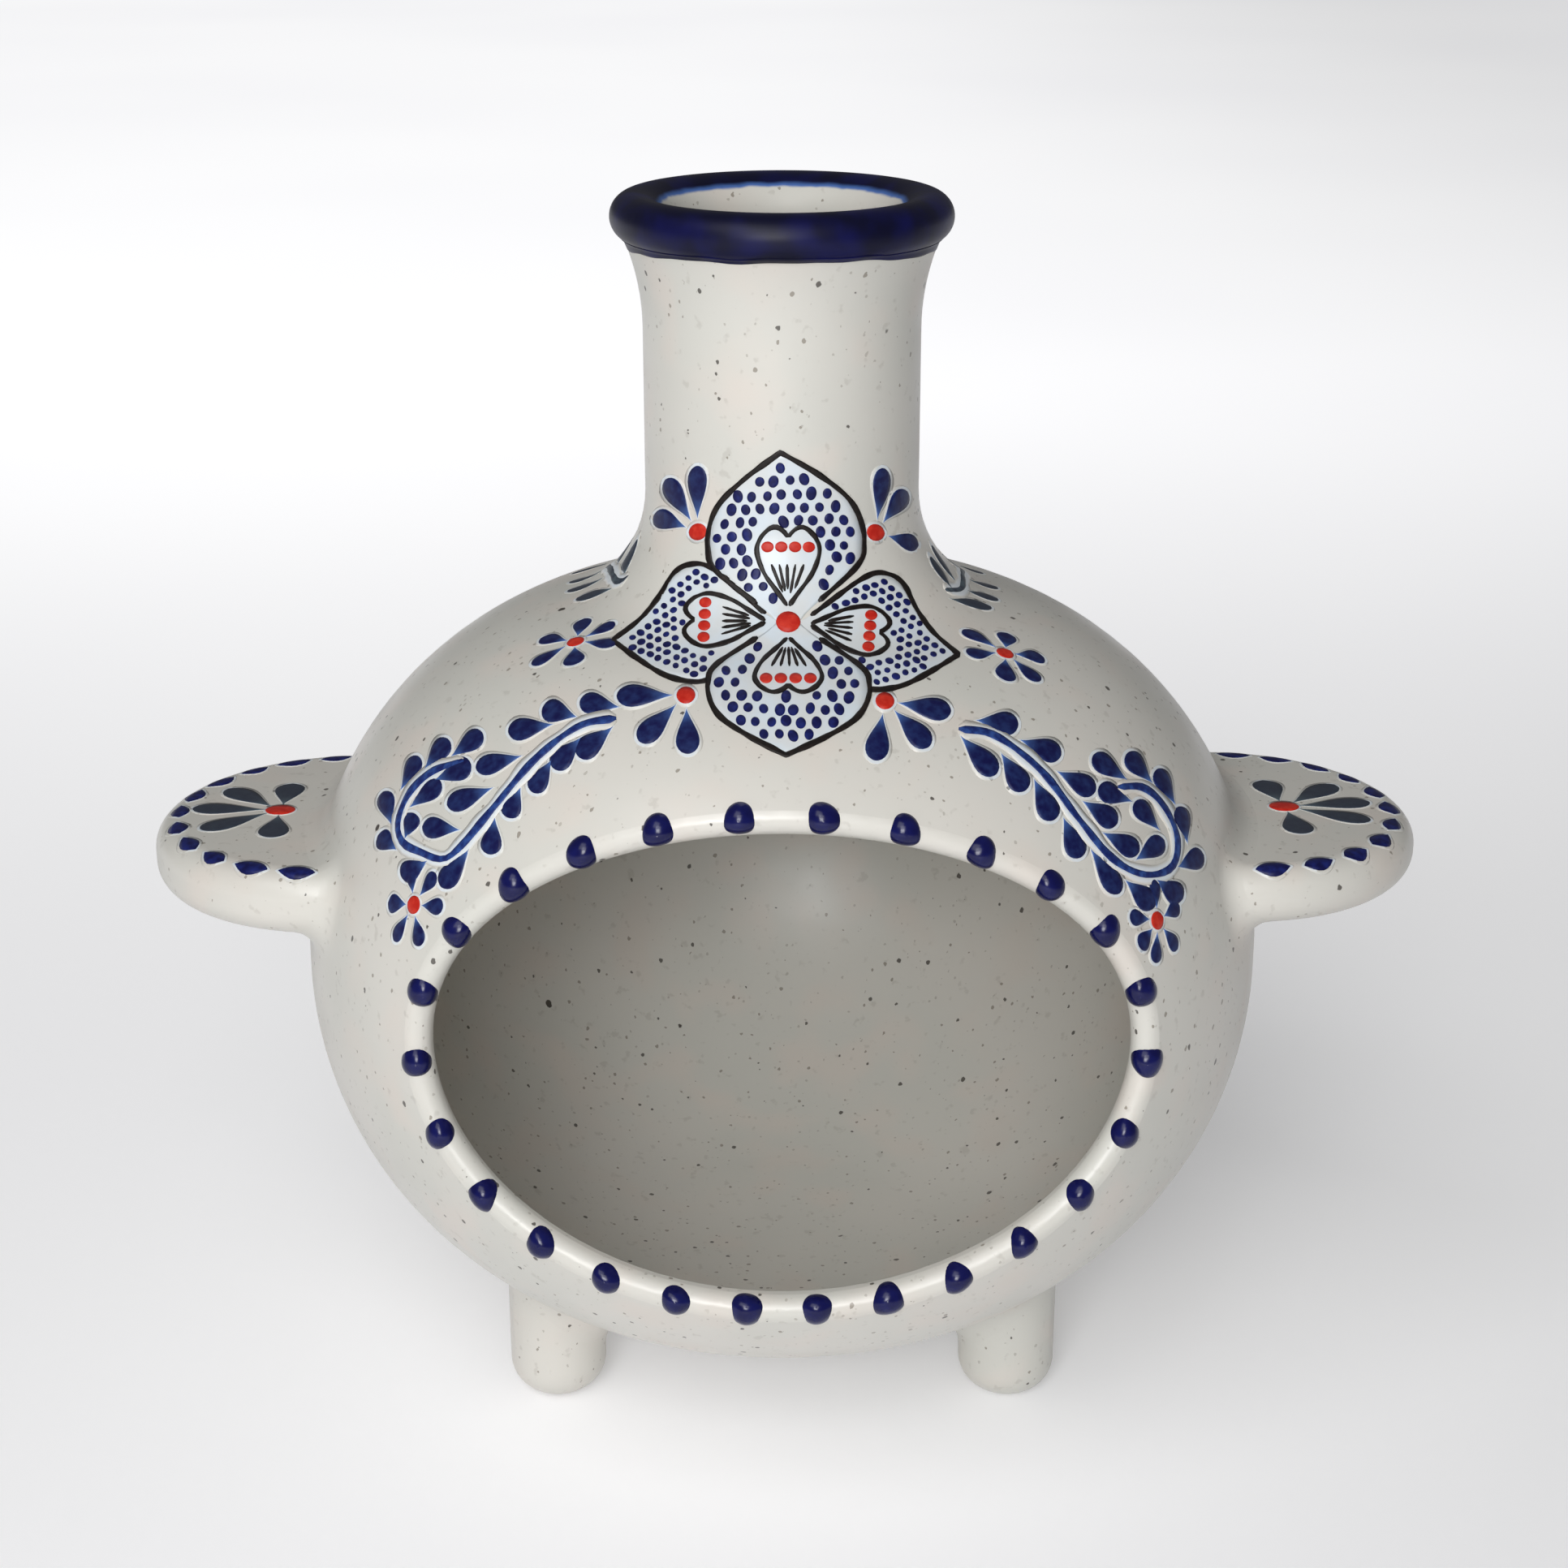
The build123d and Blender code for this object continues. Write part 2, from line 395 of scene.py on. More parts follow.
class Graph:
    """A material under construction: adds nodes and links them by their sockets."""

    def __init__(self, name):
        self.material = bpy.data.materials.new(name)
        self.material.use_nodes = True
        self.tree = self.material.node_tree
        self.tree.nodes.clear()

    def add(self, kind, inputs, **settings):
        node = self.tree.nodes.new(kind)
        for key, value in settings.items():
            setattr(node, key, value)
        for socket, value in inputs.items():
            self.feed(node.inputs[socket], value)
        return node

    def feed(self, socket, value):
        if isinstance(value, bpy.types.NodeSocket):
            self.tree.links.new(value, socket)
        else:
            socket.default_value = value

    def position(self, stretch=(1, 1, 1)):
        """Object coordinates in metres, scaled along the axes."""
        source = self.add("ShaderNodeTexCoord", {}).outputs["Object"]
        return self.add("ShaderNodeVectorMath", {0: source, 1: stretch}, operation="MULTIPLY").outputs[0]

    def noise(self, size, detail=2.0, stretch=(1, 1, 1)):
        """Soft noise from 0 to 1 whose blotches are about a size in millimetres."""
        inputs = {"Vector": self.position(stretch), "Scale": 1 / (size * MM), "Detail": detail}
        return self.add("ShaderNodeTexNoise", inputs).outputs["Fac"]

    def math(self, operation, a, b=0.0):
        return self.add("ShaderNodeMath", {0: a, 1: b}, operation=operation).outputs[0]

    def ramp(self, value, low, high, start=0.0, end=1.0):
        """A smooth step from start, where the value is low, to end, where it is high."""
        inputs = {"Value": value, "From Min": low, "From Max": high, "To Min": start, "To Max": end}
        return self.add("ShaderNodeMapRange", inputs, interpolation_type="SMOOTHSTEP").outputs["Result"]

    def mix(self, factor, a, b):
        """A blend of two colours. The colour sockets of a mix node are its numbers 6 and 7, and 2."""
        return self.add("ShaderNodeMix", {0: factor, 6: a, 7: b}, data_type="RGBA").outputs[2]

    def attribute(self, name):
        return self.add("ShaderNodeAttribute", {}, attribute_name=name).outputs["Fac"]

    def bump(self, height, depth):
        """A bump from a height from 0 to 1, with its depth in millimetres."""
        inputs = {"Height": height, "Strength": 1.0, "Distance": depth * MM}
        return self.add("ShaderNodeBump", inputs).outputs["Normal"]

    def finish(self, colour, roughness, normal, shine=0.5):
        inputs = {
            "Base Color": colour,
            "Roughness": roughness,
            "Normal": normal,
            "Specular IOR Level": shine,
        }
        surface = self.add("ShaderNodeBsdfPrincipled", inputs).outputs[0]
        self.add("ShaderNodeOutputMaterial", {"Surface": surface})
        return self.material


def specks(graph, spacing, largest, share):
    """A mask of iron specks: one in some cells of a grid of a spacing, up to a largest radius."""
    wobble = graph.noise(0.9, detail=1.0)
    stretched = graph.position((1, 1, 0.8))
    inputs = {0: wobble, 1: (0.6 * MM,) * 3, 2: stretched}
    moved = graph.add("ShaderNodeVectorMath", inputs, operation="MULTIPLY_ADD").outputs[0]
    cells = graph.add("ShaderNodeTexVoronoi", {"Vector": moved, "Scale": 1 / (spacing * MM)})
    parts = graph.add("ShaderNodeSeparateColor", {"Color": cells.outputs["Color"]})
    size = graph.math("MULTIPLY", parts.outputs[0], largest / spacing)
    depth = graph.math("SUBTRACT", size, cells.outputs["Distance"])
    body = graph.ramp(depth, 0.0, 0.05 * largest / spacing + 0.012)
    chosen = graph.math("LESS_THAN", parts.outputs[1], share)
    return graph.math("MULTIPLY", body, chosen)


def glaze_colour(graph):
    """The speckled ground: warm white with faint blotches, and iron specks of four sizes."""
    broad = graph.ramp(graph.noise(40, detail=1.0), 0.3, 0.7)
    colour = graph.mix(broad, linear(GLAZE), linear(GLAZE_COOL))
    warm = graph.ramp(graph.noise(14, detail=1.0), 0.45, 0.75)
    colour = graph.mix(warm, colour, linear(GLAZE_WARM))
    clouds = graph.ramp(graph.noise(2.4, detail=2.0), 0.62, 0.74, 0.0, 0.16)
    colour = graph.mix(clouds, colour, linear(SPECK_FAINT))
    for spacing, largest, share, strength, tone in SPECK_SIZES:
        mask = graph.math("MULTIPLY", specks(graph, spacing, largest, share), strength)
        colour = graph.mix(mask, colour, linear(tone))
    return colour


def glaze_bump(graph):
    return graph.bump(graph.noise(7.0, detail=1.0), 0.04)


def speckled_glaze():
    graph = Graph("speckled_glaze")
    roughness = graph.ramp(graph.noise(20), 0.3, 0.7, 0.3, 0.4)
    return graph.finish(glaze_colour(graph), roughness, glaze_bump(graph))


def tinted_glaze(name, tint, strength):
    """The speckled ground, tinted in the middle of a stroke and fading out at its edge."""
    graph = Graph(name)
    fade = graph.ramp(graph.attribute("edge"), 0.6, 1.0, strength, 0.0)
    colour = graph.mix(fade, glaze_colour(graph), linear(tint))
    return graph.finish(colour, 0.35, glaze_bump(graph))


def petal_ground():
    graph = Graph("petal_ground")
    wash = graph.ramp(graph.noise(7, detail=3.0), 0.35, 0.7, 0.5, 0.95)
    colour = graph.mix(wash, linear(GLAZE), linear(PETAL_WHITE))
    return graph.finish(colour, 0.35, glaze_bump(graph))


def brushed_colour(name, deep, thin, tail_end=0.48):
    """Painted glaze that is thin and light at the tail of a stroke and deep at its head."""
    graph = Graph(name)
    depth = graph.ramp(graph.attribute("along"), 0.04, tail_end)
    streak = graph.ramp(graph.noise(1.6, detail=3.0), 0.3, 0.8, 0.0, 0.16)
    pooled = graph.math("SUBTRACT", depth, streak)
    rim = graph.ramp(graph.attribute("edge"), 0.85, 1.0, 0.0, 0.14)
    colour = graph.mix(graph.math("SUBTRACT", pooled, rim), linear(thin), linear(deep))
    return graph.finish(colour, 0.42, graph.bump(graph.noise(1.2), 0.01), shine=0.25)


def even_colour(name, deep, light, blotch=1.5):
    """Painted glaze of one depth, with the slight blotches of a loaded brush."""
    graph = Graph(name)
    colour = graph.mix(graph.ramp(graph.noise(blotch, detail=3.0), 0.35, 0.75), linear(deep), linear(light))
    return graph.finish(colour, 0.42, graph.bump(graph.noise(1.0), 0.01), shine=0.25)


def cobalt_glaze():
    """Thick cobalt glaze: near black where it is deep, bluer in soft patches."""
    graph = Graph("cobalt_glaze")
    pool = graph.ramp(graph.noise(9, detail=2.0), 0.35, 0.7)
    colour = graph.mix(pool, linear(COBALT_ROLL), linear(COBALT))
    return graph.finish(colour, 0.42, graph.bump(graph.noise(4.0), 0.03), shine=0.22)


def drop_glaze():
    """The trailed drops: a clear deep cobalt with a small soft shine."""
    graph = Graph("drop_glaze")
    pool = graph.ramp(graph.noise(3, detail=2.0), 0.35, 0.7)
    colour = graph.mix(pool, linear(COBALT), linear(COBALT_DROP))
    return graph.finish(colour, 0.2, graph.bump(graph.noise(3.0), 0.02), shine=0.35)


def dipped_rim():
    """The roll: cobalt outside and on top, ending in a thin line inside, and in a wavy edge below."""
    graph = Graph("dipped_rim")
    split = graph.add("ShaderNodeSeparateXYZ", {0: graph.position()})
    x, y, z = split.outputs
    x_squared = graph.math("POWER", x, 2.0)
    y_squared = graph.math("POWER", y, 2.0)
    squared = graph.math("ADD", x_squared, y_squared)
    wander = graph.math("MULTIPLY", graph.noise(5, detail=2.0), 0.8 * MM)
    reach = graph.math("ADD", graph.math("SQRT", squared), wander)
    inner = (BORE_RADIUS + INNER_GLAZE_EDGE) * MM
    thin = graph.ramp(reach, inner, inner + 0.5 * MM)
    deep = graph.ramp(reach, inner + 0.3 * MM, inner + 1.4 * MM)
    twice = graph.math("DIVIDE", graph.math("SUBTRACT", x_squared, y_squared), squared)
    droop = graph.math("MULTIPLY", twice, SKIRT_SWING * MM)
    below = graph.math("ADD", z, droop)
    outside = graph.math("GREATER_THAN", below, (SKIRT_Z + 0.3) * MM)
    pool = graph.ramp(graph.noise(9, detail=2.0), 0.35, 0.7)
    blue = graph.mix(pool, linear(COBALT_ROLL), linear(COBALT))
    blue = graph.mix(deep, linear(COBALT_THIN), blue)
    colour = graph.mix(graph.math("MULTIPLY", thin, outside), glaze_colour(graph), blue)
    return graph.finish(colour, 0.42, graph.bump(graph.noise(4.0), 0.03), shine=0.22)


white = speckled_glaze()
halo = tinted_glaze("halo_wash", HALO, 0.55)
slate_stem = even_colour("slate_stem", SLATE, SLATE_THIN)
petal_white = petal_ground()
cobalt_brush = brushed_colour("cobalt_brush", COBALT, COBALT_THIN)
cobalt_stem = even_colour("cobalt_stem", STEM, STEM_LIGHT)
cobalt_dot = even_colour("cobalt_dot", COBALT, COBALT_LIGHT)
slate_brush = brushed_colour("slate_brush", SLATE, SLATE_THIN)
outline = even_colour("outline_brown", LINE_BLACK, LINE_BROWN, blotch=0.8)
red = even_colour("iron_red", IRON_RED, IRON_RED_LIGHT)
cobalt_dash = even_colour("cobalt_dash", COBALT, COBALT_LIGHT)
cobalt = cobalt_glaze()
drop_cobalt = drop_glaze()


# ---------------------------------------------------------------- clay, rim and drops

def dress_clay():
    for name in CLAY_NODES:
        nodes[name].data.materials.clear()
        nodes[name].data.materials.append(white)
    nodes["rim_roll"].data.materials.clear()
    nodes["rim_roll"].data.materials.append(dipped_rim())


def rim_skirt():
    """The wavy lower edge of the cobalt under the roll, a little way down the flare."""
    collar = Collar(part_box("rim_roll")[1].x / MM)
    turns = np.linspace(0, 2 * math.pi, 181)
    low = SKIRT_Z - SKIRT_SWING * np.cos(2 * turns)
    low += 0.14 * np.sin(5 * turns + 1) + 0.12 * np.sin(11 * turns) + 0.08 * np.sin(19 * turns + 2)
    high = np.maximum(low + 1.0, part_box("rim_roll")[0].z / MM + 0.7)
    middle = [(collar.radius * turn, (top + bottom) / 2) for turn, top, bottom in zip(turns, high, low)]
    skirt = Glaze()
    skirt.lay(collar, ribbon(middle, (high - low) / 2, columns=7), LINE_LIFT, crown=0.05)
    skirt.piece("rim_glaze_skirt", cobalt, "cobalt_glaze")


# How far a drop reaches towards the middle of the mouth and away from it, as shares of its plain cap.
DROP_TOWARDS = 0.76
DROP_AWAY = 0.9


def glaze_drop(node, mouth):
    """One hand-trailed drop: a copy of its plain cap, drawn up from the edge of the mouth."""
    thing = nodes[node].copy()
    thing.data = nodes[node].data.copy()
    thing.name = node.replace("mouth_bead", "glaze_drop")
    thing.data.name = thing.name
    thing.parent = None
    low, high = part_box(node)
    seat, normal = clay.nearest((low + high) / 2)
    inward = (mouth - seat) - (mouth - seat).dot(normal) * normal
    inward.normalize()
    sideways = normal.cross(inward)
    lump, size = hand.uniform(0, math.tau), hand.uniform(0.98, 1.05)
    for vertex in thing.data.vertices:
        offset = vertex.co - seat
        towards, across, height = offset.dot(inward), offset.dot(sideways), offset.dot(normal)
        pull = size * (1 + 0.04 * math.cos(3 * (math.atan2(towards, across) - lump)))
        towards *= DROP_TOWARDS if towards > 0 else DROP_AWAY
        vertex.co = seat + pull * (towards * inward + across * sideways) + height * normal
    thing.data.materials.clear()
    thing.data.materials.append(drop_cobalt)
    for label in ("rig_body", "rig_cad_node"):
        del thing[label]
    bpy.context.scene.collection.objects.link(thing)
    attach(thing, "root")
    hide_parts(node)


# ---------------------------------------------------------------- the main flower

# Each petal swings out to either side of its own line, by widths given at shares of its length. The
# upper petals lie over the other two and carry larger dots.
FLOWER_CENTRE = np.array([1.2, 150.3])
BROAD_PETAL = ((0, 2.1), (0.08, 4.4), (0.335, 13.7), (0.5, 15.3), (0.7, 13.3), (0.85, 7.9), (1, 0.1))
PETAL_BROW = (
    (0, 0.5), (0.1, 1.5), (0.37, 11.2), (0.5, 13.6), (0.62, 12.4), (0.72, 8.0), (0.84, 3.8), (1, 0.1)
)
PETAL_KEEL = (
    (0, 0.5), (0.1, 1.2), (0.3, 7.3), (0.45, 9.9), (0.56, 10.2), (0.71, 8.3), (0.86, 4.4), (1, 0.1)
)
HEART_OUTLINE = ((0, 0.03), (0.2, 0.34), (0.45, 0.74), (0.7, 0.97), (0.86, 1.0), (1, 0.86))
PETALS = {
    "top": {"degrees": 92.6, "length": 32.3, "bend": -0.3, "sides": (BROAD_PETAL, BROAD_PETAL)},
    "bottom": {"degrees": 269, "length": 25.9, "bend": 0.3, "sides": (BROAD_PETAL, BROAD_PETAL)},
    "left": {"degrees": 185.2, "length": 34.2, "bend": 0, "sides": (PETAL_BROW, PETAL_KEEL)},
    "right": {"degrees": 349.4, "length": 33.3, "bend": 0, "sides": (PETAL_KEEL, PETAL_BROW)},
}
UPPER_PETALS = ("top", "bottom")
HEARTS = {
    "top": {"degrees": 90, "start": 3.2, "length": 13.6, "half_width": 6.0},
    "bottom": {"degrees": 270, "start": 3.2, "length": 9.6, "half_width": 6.3},
    "left": {"degrees": 178, "start": 4.4, "length": 13.8, "half_width": 5.3},
    "right": {"degrees": 354, "start": 4.4, "length": 13.4, "half_width": 4.9},
}
UPPER_DOT_RADIUS, UPPER_DOT_PITCH = 0.95, 2.85
LOWER_DOT_RADIUS, LOWER_DOT_PITCH = 0.64, 1.95
OUTLINE_WIDTH = 1.05
HEART_LINE_WIDTH = 0.9
FAN_LINE_WIDTH = 0.62
LINE_CROWN = 0.05
CENTRE_RADIUS = 2.1


def profile(stations, outline_points):
    """Half-widths at stations along a shape, from the few points of its outline."""
    places, widths = zip(*outline_points)
    path = smooth_path(list(zip(places, widths)), 80)
    return np.interp(stations, path[:, 0], path[:, 1])


def petal_grid(degrees, length, bend, sides, rows=26, columns=15):
    """A petal between two sides, each given by how far it swings out along the petal."""
    along, aside = direction(degrees), direction(degrees + 90)
    stations = np.linspace(0, 1, rows)
    right, left = (profile(stations, side) for side in sides)
    spine = [t * length * along + bend * math.sin(math.pi * t) * aside for t in stations]
    return np.array([
        [FLOWER_CENTRE + middle + share * aside for share in np.linspace(-reach_right, reach_left, columns)]
        for middle, reach_right, reach_left in zip(spine, right, left)
    ])


def heart_grid(degrees, start, length, half_width):
    along = direction(degrees)
    stations = np.sin(np.linspace(0, math.pi / 2, 18))
    spine = [FLOWER_CENTRE + (start + t * length) * along for t in stations]
    return ribbon(spine, half_width * profile(stations, HEART_OUTLINE), columns=17, lobes=length * 0.13)


def inside(outline_path, point):
    """Whether a point lies in a closed outline."""
    crossings = 0
    for (ax, ay), (bx, by) in zip(outline_path, np.roll(outline_path, -1, axis=0)):
        if (ay > point[1]) != (by > point[1]):
            crossings += point[0] < ax + (bx - ax) * (point[1] - ay) / (by - ay)
    return crossings % 2 == 1


def clearance(outline_path, point):
    """How far a point is from an outline."""
    return np.linalg.norm(outline_path - np.array(point), axis=1).min()


def petal_dots(setting, heart, hidden_by, size, pitch):
    """Staggered cobalt dots on a petal, clear of its outline, its heart and the petals over it."""
    along, aside = direction(setting["degrees"]), direction(setting["degrees"] + 90)
    edge_path, heart_path = border(petal_grid(**setting, rows=61)), border(heart)
    step = pitch * math.sin(math.radians(60))
    across = math.ceil(16 / pitch)
    for row in range(1, int(setting["length"] / step)):
        for column in range(-across, across + 1):
            place = FLOWER_CENTRE + row * step * along + (column + row % 2 / 2) * pitch * aside
            place = place + 0.08 * pitch * np.array([hand.uniform(-1, 1), hand.uniform(-1, 1)])
            near_edge = not inside(edge_path, place) or clearance(edge_path, place) < size + 0.45
            near_heart = inside(heart_path, place) or clearance(heart_path, place) < size + 0.4
            covered = any(inside(path, place) or clearance(path, place) < size + 0.5 for path in hidden_by)
            near_centre = np.linalg.norm(place - FLOWER_CENTRE) < CENTRE_RADIUS + 1.1
            if not (near_edge or near_heart or covered or near_centre):
                turn = setting["degrees"] + hand.uniform(-30, 30)
                yield spot(place, size * hand.uniform(0.85, 1.08), hand.uniform(1.0, 1.3), turn)


def petal_line(grid, hidden_by):
    """The drawn outline of a petal, in one stroke over its tip, as far as the petals over it."""
    path = border(grid)[3:-3]
    hidden = [any(inside(other, point) for other in hidden_by) for point in path]
    shown = [not all(hidden[max(0, place - 1):place + 2]) for place in range(len(path))]
    return path[np.array(shown)]


def main_flower():
    grounds, lines, dots = Glaze(), Glaze(), Glaze()
    hearts, heart_lines, reds = Glaze(), Glaze(), Glaze()
    shapes = {name: petal_grid(**setting) for name, setting in PETALS.items()}
    upper = [border(shapes[name]) for name in UPPER_PETALS]
    for name, setting in PETALS.items():
        if name in UPPER_PETALS:
            hidden_by, ground_lift, line_lift = [], OVER_GROUND_LIFT, OVER_LINE_LIFT
            dot_radius, dot_pitch = UPPER_DOT_RADIUS, UPPER_DOT_PITCH
        else:
            hidden_by, ground_lift, line_lift = upper, GROUND_LIFT, LINE_LIFT
            dot_radius, dot_pitch = LOWER_DOT_RADIUS, LOWER_DOT_PITCH
        grounds.lay(front, shapes[name], ground_lift)
        path = smooth_path(petal_line(shapes[name], hidden_by), 90)
        lines.lay(front, brush_line(path, OUTLINE_WIDTH), line_lift, crown=LINE_CROWN)
        heart = heart_grid(**HEARTS[name])
        for dot in petal_dots(setting, heart, hidden_by, dot_radius, dot_pitch):
            dots.lay(front, dot, line_lift, crown=0.06)
        hearts.lay(front, heart, HEART_GROUND_LIFT)
        heart_path = smooth_path(border(heart), 70)
        heart_lines.lay(front, brush_line(heart_path, HEART_LINE_WIDTH), HEART_LINE_LIFT, crown=LINE_CROWN)
        fan(heart, heart_lines, reds)
    reds.lay(front, spot(FLOWER_CENTRE, CENTRE_RADIUS, 1.12), HEART_LINE_LIFT, crown=0.15)
    grounds.piece("flower_petal_grounds", petal_white, "speckled_glaze")
    lines.piece("flower_outlines", outline, "cobalt_glaze")
    dots.piece("flower_dots", cobalt_dot, "cobalt_glaze")
    hearts.piece("flower_hearts", petal_white, "speckled_glaze")
    heart_lines.piece("flower_heart_lines", outline, "cobalt_glaze")
    reds.piece("flower_reds", red, "cobalt_glaze")


def across_row(row, share):
    """A point part of the way across a row of a grid."""
    return row[0] + share * (row[-1] - row[0])


def fan(heart, lines, reds):
    """The inside of a heart: four red dots under its lobes, and fine lines that fan out to them."""
    rows, columns = heart.shape[:2]
    tip = heart[0, columns // 2]
    for share in (0.17, 0.39, 0.61, 0.83):
        place = across_row(heart[round(rows * 0.62)], share)
        reds.lay(front, spot(place, 1.05, 1.15), HEART_LINE_LIFT, crown=0.08)
    for share in (0.22, 0.37, 0.52, 0.66, 0.8):
        far = across_row(heart[round(rows * 0.37)], share)
        near = tip + (far - tip) * hand.uniform(0.3, 0.42)
        path = smooth_path([near, far], 7)
        lines.lay(front, brush_line(path, FAN_LINE_WIDTH), HEART_LINE_LIFT, crown=0.03)


# ---------------------------------------------------------------- sprigs, small flowers and paisleys

class Spray:
    """The colours of one spray of leaves, each of which becomes one piece."""

    def __init__(self):
        self.halos = Glaze()
        self.leaves = Glaze()
        self.stems = Glaze()
        self.reds = Glaze()

    def leaf(self, canvas, tail, degrees, length, width):
        self.halos.lay(canvas, leaf(tail, degrees, length, width, grow=LEAF_HALO), HALO_LIFT)
        self.leaves.lay(canvas, leaf(tail, degrees, length, width), GROUND_LIFT, crown=LEAF_CROWN)

    def row(self, canvas, tails, heads, width):
        """Leaves along a stem, each from its tail to its head."""
        for tail, head in zip(tails, heads):
            step = np.subtract(head, tail)
            degrees = math.degrees(math.atan2(step[1], step[0]))
            self.leaf(canvas, tail, degrees, np.linalg.norm(step), width * hand.uniform(0.92, 1.08))

    def red_dot(self, canvas, centre, radius):
        self.halos.lay(canvas, spot(centre, radius + DOT_HALO), HALO_LIFT)
        self.reds.lay(canvas, spot(centre, radius, 1.08), LINE_LIFT, crown=LEAF_CROWN)

    def stem(self, canvas, path, width):
        self.halos.lay(canvas, brush_line(path, width + 2 * STEM_HALO), LINE_LIFT)
        self.stems.lay(canvas, brush_line(path, width), OVER_GROUND_LIFT, crown=0.06)

    def pieces(self, name, brush=None, stem_paint=None):
        self.halos.piece(name + "_halo", halo, "speckled_glaze")
        self.leaves.piece(name + "_leaves", brush or cobalt_brush, "cobalt_glaze")
        if self.stems.points:
            self.stems.piece(name + "_stem", stem_paint or cobalt_stem, "cobalt_glaze")
        if self.reds.points:
            self.reds.piece(name + "_red", red, "cobalt_glaze")


# Each sprig has its red dot at the centre. A leaf is given by its direction and how far it reaches, and
# starts a gap away from the centre.
SPRIG_GAP = 2.6
SPRIG_DOT_RADIUS = 1.65
SPRIGS = {
    "sprig_upper_left": {
        "centre": (-16.4, 168.4), "width": 3.9, "leaves": ((90, 11.8), (121, 11.8), (156, 9.4)),
    },
    "sprig_upper_right": {
        "centre": (18.3, 168.4), "width": 3.6, "leaves": ((83, 11.8), (54, 10.2), (-10, 8.4)),
    },
    "sprig_lower_left": {
        "centre": (-18.0, 135.8), "width": 4.5, "leaves": ((180, 12.6), (226, 11.6), (274, 10.6)),
    },
    "sprig_lower_right": {
        "centre": (19.3, 134.7), "width": 4.5, "leaves": ((-9, 12.0), (-47, 11.2), (-101, 10.9)),
    },
}


def sprig(name, centre, width, leaves):
    """A red dot with three leaves that point away from it."""
    spray = Spray()
    for degrees, reach in leaves:
        tail = np.array(centre) + SPRIG_GAP * direction(degrees)
        spray.leaf(front, tail, degrees, reach - 2.0, width)
    spray.red_dot(front, centre, SPRIG_DOT_RADIUS)
    spray.pieces(name)


SMALL_FLOWER_GAP = 2.3
SMALL_FLOWER_DOT_RADIUS = 1.75


def small_flower(spray, canvas, turns, reach, width):
    """Petals round a red dot, on a sheet of its own."""
    for degrees in turns:
        length = reach * hand.uniform(0.92, 1.06) - SMALL_FLOWER_GAP
        tail = SMALL_FLOWER_GAP * direction(degrees)
        spray.leaf(canvas, tail, degrees, length, width * hand.uniform(0.9, 1.1))
    spray.red_dot(canvas, (0, 0), SMALL_FLOWER_DOT_RADIUS)


# A paisley has a hooked stem and leaves along it: a row above its long side, a row below it, and then a
# row outside and one inside its hook. Each leaf runs from its tail at the stem to its head.
PAISLEYS = {
    "paisley_left": {
        "stem": (
            (-31, 131.4), (-38, 130), (-46, 124), (-54, 114.6), (-60, 107.6), (-63.8, 105),
            (-68.5, 106.2), (-72.6, 108), (-74, 111.8), (-72, 117.4), (-67.3, 121.6), (-60.7, 123.6),
        ),
        "tails": (
            (-30.6, 133.6), (-38.7, 131.8), (-43.3, 130.4), (-49, 124.4), (-54.4, 118.4), (-60.6, 110.5),
            (-31.6, 129.8), (-37.6, 127.8), (-43, 123.6), (-48.8, 118.4), (-53.6, 112.8), (-58.4, 107),
            (-67, 104.6), (-74, 106.6), (-75.4, 111.3), (-74, 118.1), (-69.1, 122.1), (-63.5, 124.5),
            (-72.2, 108.6), (-71.6, 114.7), (-66.6, 119.9),
        ),
        "heads": (
            (-38.3, 134.8), (-45.6, 133.6), (-52.1, 129.2), (-58.1, 122.2), (-63.5, 115.1), (-68.5, 111),
            (-38.1, 124.4), (-42.7, 122.1), (-46.5, 117.6), (-51.2, 112.9), (-54.3, 106), (-63.9, 99.8),
            (-72.6, 101.6), (-78.4, 109.2), (-78.1, 117.7), (-70.8, 124.6), (-64.5, 127.8), (-57.4, 129),
            (-70.6, 113.6), (-65.3, 119.7), (-59.2, 123),
        ),
        "flower": {"centre": (-69.6, 96.3), "turns": (14, 66, 124, 194, 248, 306)},
    },
    "paisley_right": {
        "stem": (
            (33, 129.4), (40, 128.2), (48.6, 121.6), (55.6, 112.5), (62, 105.2), (68.6, 102),
            (74.6, 103.2), (76.4, 108.4), (74.2, 114.4), (69.8, 118.4), (64, 118.6),
        ),
        "tails": (
            (36.6, 131.1), (44.9, 127.4), (51.8, 121.5), (56.6, 115.9), (60.3, 110), (66.9, 104.8),
            (33.4, 128), (41, 124.8), (47.1, 120), (52.5, 112.8), (57.7, 106.9), (64.6, 101),
            (71.1, 101), (76, 103.2), (78.7, 107.8), (76.5, 115.2), (71.7, 119.4), (66.2, 119.9),
            (72.4, 110.3), (66.9, 115.8),
        ),
        "heads": (
            (44.7, 130.4), (52.8, 124.6), (59.3, 117.8), (63.4, 111.7), (67.7, 106.3), (73.3, 108.4),
            (39.8, 120.9), (45.3, 117.9), (50.6, 112.4), (55.5, 105.4), (63.3, 98.7), (70.6, 95.9),
            (76.9, 97.2), (82.4, 105.3), (77.3, 114.8), (73.1, 122.1), (66.7, 125.1), (59.3, 124.5),
            (67.5, 115.8), (59.9, 118.3),
        ),
        "flower": {"centre": (71.1, 93.3), "turns": (4, 70, 158, 205, 247, 302)},
    },
}
PAISLEY_LEAF_WIDTH = 4.4
PAISLEY_STEM_WIDTH = 1.35
PAISLEY_FLOWER_REACH = 8.2
PAISLEY_FLOWER_WIDTH = 3.5


